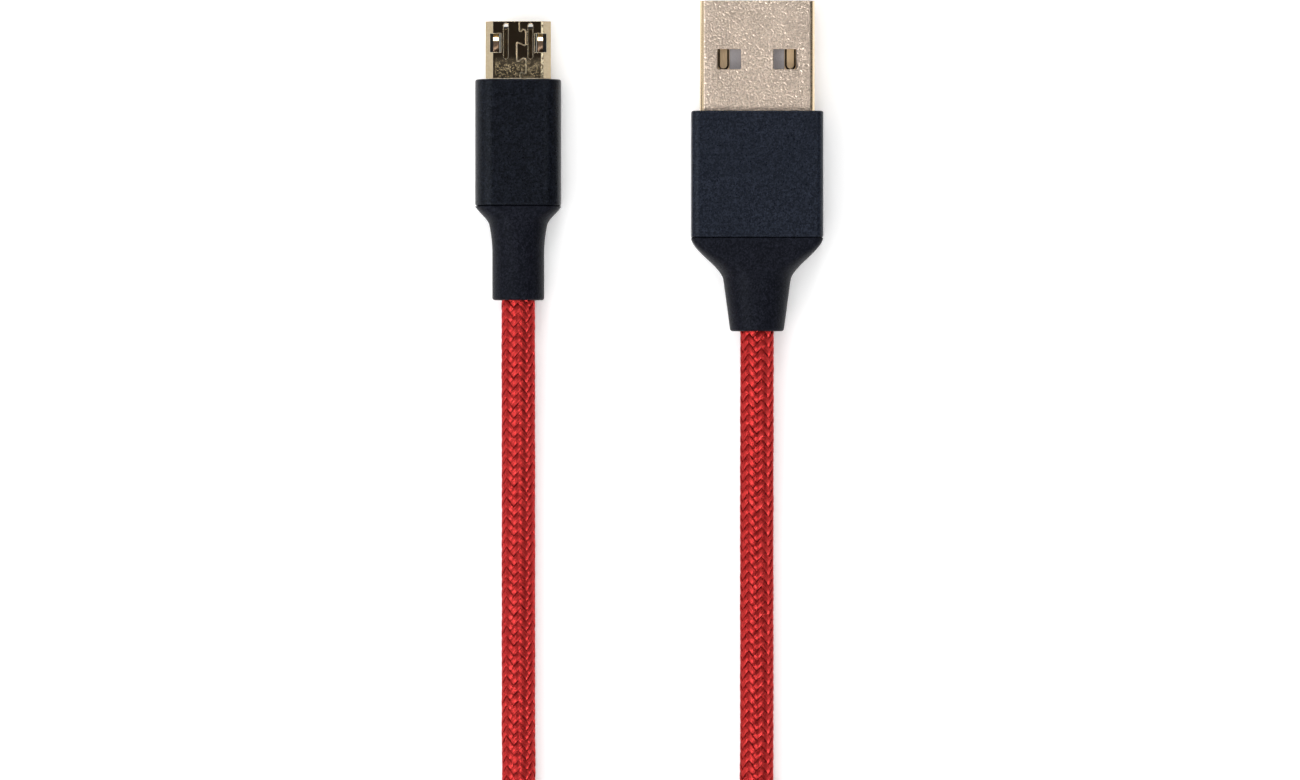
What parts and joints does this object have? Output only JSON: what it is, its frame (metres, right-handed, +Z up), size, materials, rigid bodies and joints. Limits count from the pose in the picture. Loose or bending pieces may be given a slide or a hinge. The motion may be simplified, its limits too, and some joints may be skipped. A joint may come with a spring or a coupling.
{
  "type": "charging cable",
  "caption": "Charging cable with a red braided cord, a flat gold-plated host plug and a slim reversible device plug in dark housings, wound and tied for storage.",
  "frame": {"origin": "under the middle of the two plugs with their boots, on the surface that the cable lies on", "axes": "+X across the two plugs, from the device plug to the host plug; +Y along both plugs towards their tips; +Z up, away from the surface"},
  "size_m": [0.0534, 0.1434, 0.009],
  "materials": {
    "shell_gold_satin": "pale gold plating, satin",
    "shell_gold_bright": "bright gold plating",
    "latch_gold": "bright gold plating",
    "contact_gold": "gold plating",
    "solder_tin": "tinned, satin",
    "white_plastic": "moulded, matte",
    "insulator_black": "moulded, matte",
    "mould_black": "moulded, matte",
    "housing_navy": "fine blasted and dyed near-black blue, satin",
    "boot_black": "moulded, fine matte grain",
    "board_green": "solder mask",
    "wire_red": "extruded insulation",
    "wire_white": "extruded insulation",
    "wire_green": "extruded insulation",
    "wire_black": "extruded insulation",
    "braid_red": "braided polyester sleeve with a silky sheen",
    "tie_black": "woven hook-and-loop strap"
  },
  "bodies": {
    "cable": {"host_shell": "shell_gold_satin", "host_tongue": "white_plastic", "host_inner_mould": "mould_black", "host_housing": "housing_navy", "host_boot": "boot_black", "host_contact_power": "contact_gold", "host_contact_data_minus": "contact_gold", "host_contact_data_plus": "contact_gold", "host_contact_ground": "contact_gold", "host_wire_power": "wire_red", "host_wire_data_minus": "wire_white", "host_wire_data_plus": "wire_green", "host_wire_ground": "wire_black", "device_shell": "shell_gold_bright", "device_insulator": "insulator_black", "device_circuit_board": "board_green", "device_inner_mould": "mould_black", "device_housing": "housing_navy", "device_boot": "boot_black", "device_tail_upper_power": "solder_tin", "device_tail_upper_data_minus": "solder_tin", "device_tail_upper_data_plus": "solder_tin", "device_tail_upper_id": "solder_tin", "device_tail_upper_ground": "solder_tin", "device_tail_lower_power": "solder_tin", "device_tail_lower_data_minus": "solder_tin", "device_tail_lower_data_plus": "solder_tin", "device_tail_lower_id": "solder_tin", "device_tail_lower_ground": "solder_tin", "device_wire_power": "wire_red", "device_wire_data_minus": "wire_white", "device_wire_data_plus": "wire_green", "device_wire_ground": "wire_black", "cord_host_lead": "braid_red", "cord_coil": "braid_red", "cord_device_lead": "braid_red", "cable_tie": "tie_black"},
    "tongue": {"device_tongue": "insulator_black", "device_contact_upper_power": "contact_gold", "device_contact_upper_data_minus": "contact_gold", "device_contact_upper_data_plus": "contact_gold", "device_contact_upper_id": "contact_gold", "device_contact_upper_ground": "contact_gold", "device_contact_lower_power": "contact_gold", "device_contact_lower_data_minus": "contact_gold", "device_contact_lower_data_plus": "contact_gold", "device_contact_lower_id": "contact_gold", "device_contact_lower_ground": "contact_gold"},
    "latch_upper_left": {"device_latch_upper_left": "latch_gold"},
    "latch_upper_right": {"device_latch_upper_right": "latch_gold"},
    "latch_lower_left": {"device_latch_lower_left": "latch_gold"},
    "latch_lower_right": {"device_latch_lower_right": "latch_gold"}
  },
  "joints": [
    {"name": "tongue_flex", "type": "hinge", "parent": "cable", "child": "tongue", "pos_m": [-0.0137, 0.00985, 0.0028], "axis": [1, 0, 0], "range_deg": [-2.5, 2.5], "stiffness_Nm_per_rad": 0.054},
    {"name": "latch_upper_left_press", "type": "hinge", "parent": "cable", "child": "latch_upper_left", "pos_m": [-0.01602, 0.008, 0.00328], "axis": [-1, 0, 0], "range_deg": [0, 2.9], "stiffness_Nm_per_rad": 0.08},
    {"name": "latch_upper_right_press", "type": "hinge", "parent": "cable", "child": "latch_upper_right", "pos_m": [-0.01138, 0.008, 0.00328], "axis": [-1, 0, 0], "range_deg": [0, 2.9], "stiffness_Nm_per_rad": 0.08},
    {"name": "latch_lower_left_press", "type": "hinge", "parent": "cable", "child": "latch_lower_left", "pos_m": [-0.01602, 0.008, 0.00232], "axis": [1, 0, 0], "range_deg": [0, 2.9], "stiffness_Nm_per_rad": 0.08},
    {"name": "latch_lower_right_press", "type": "hinge", "parent": "cable", "child": "latch_lower_right", "pos_m": [-0.01138, 0.008, 0.00232], "axis": [1, 0, 0], "range_deg": [0, 2.9], "stiffness_Nm_per_rad": 0.08}
  ]
}
